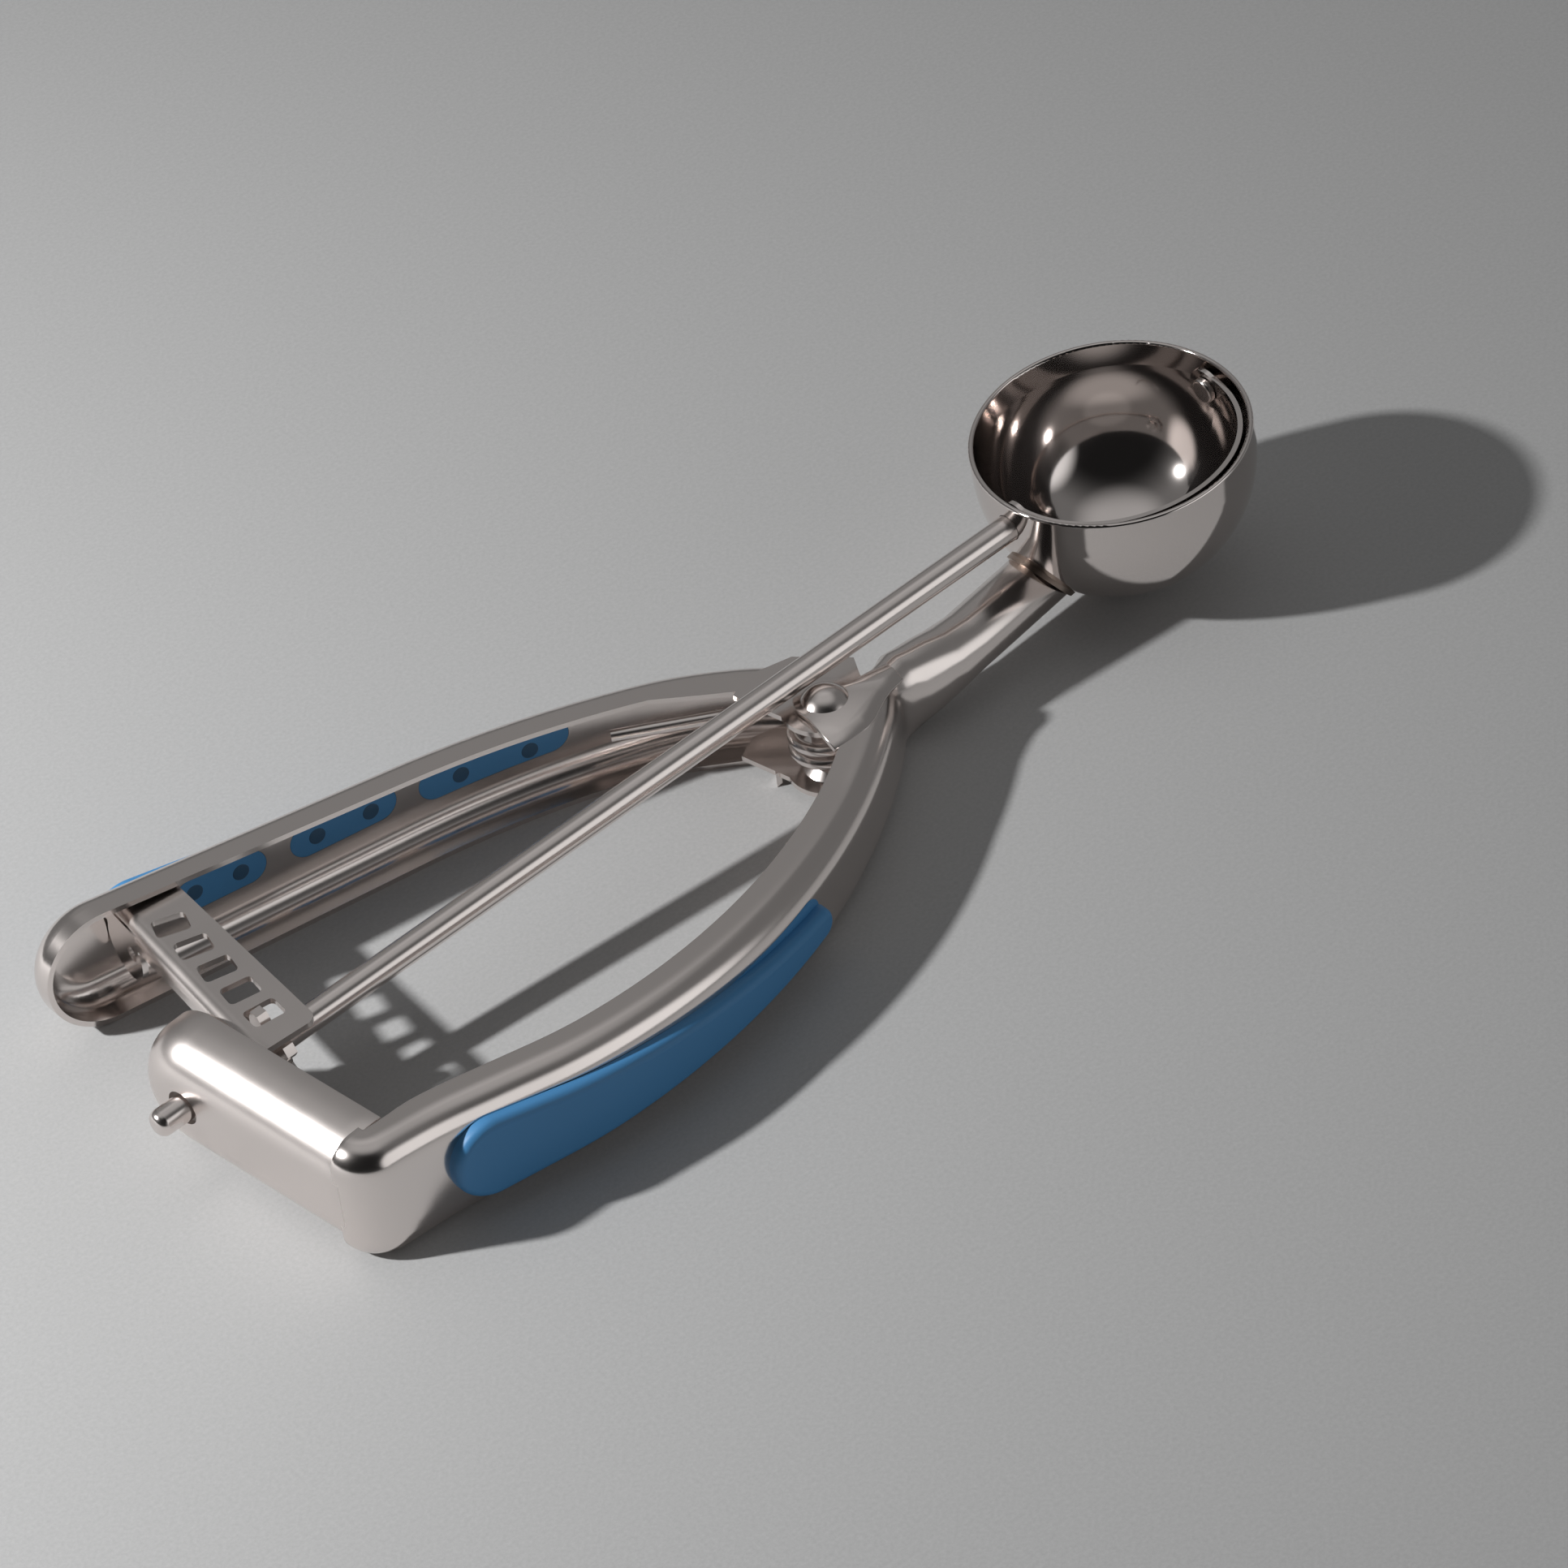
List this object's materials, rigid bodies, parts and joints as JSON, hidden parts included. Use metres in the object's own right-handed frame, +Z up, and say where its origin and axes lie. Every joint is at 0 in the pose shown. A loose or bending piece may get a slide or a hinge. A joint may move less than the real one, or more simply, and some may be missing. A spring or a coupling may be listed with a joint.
{
  "type": "cookie scoop",
  "caption": "Squeeze-handle cookie scoop lying on its side, with a round bowl, a geared rod that sweeps a scraper blade, and soft grip pads.",
  "frame": {"origin": "middle of the bounding box's bottom face, on the table that the scoop lies on", "axes": "+X from the handles towards the bowl, +Y towards the moving handle, +Z up from the table"},
  "size_m": [0.1918, 0.0774, 0.026],
  "materials": {
    "polished_steel": "polished",
    "satin_steel": "satin",
    "spring_steel": "drawn",
    "weld_steel": "as_welded",
    "blue_grip": "matt"
  },
  "bodies": {
    "scoop_body": {"bowl": "polished_steel", "neck_weld": "weld_steel", "fixed_handle": "polished_steel", "gear_housing": "polished_steel", "pivot_rivet": "polished_steel", "pivot_spacer": "satin_steel", "torsion_spring": "spring_steel", "fixed_grip_pad": "blue_grip", "blade_rivet": "polished_steel"},
    "squeeze_handle": {"moving_handle": "polished_steel", "rack": "polished_steel", "rack_weld": "weld_steel", "moving_grip_pad": "blue_grip"},
    "sweep_rod": {"drive_rod": "polished_steel", "pinion": "polished_steel", "scraper_blade": "polished_steel"}
  },
  "joints": [
    {"name": "handle_squeeze", "type": "hinge", "parent": "scoop_body", "child": "squeeze_handle", "pos_m": [0.01671, -0.0027, 0], "axis": [0, 0, 1], "range_deg": [0, 10], "stiffness_Nm_per_rad": 3, "deforming": ["torsion_spring"]},
    {"name": "rod_sweep", "type": "hinge", "parent": "scoop_body", "child": "sweep_rod", "pos_m": [-0.09589, 0.001, 0.0095], "axis": [0.9979, 0, 0.0654], "range_deg": [0, 170]}
  ],
  "couplings": [
    {"joint": "rod_sweep", "follows": "handle_squeeze", "ratio": 16.95}
  ]
}
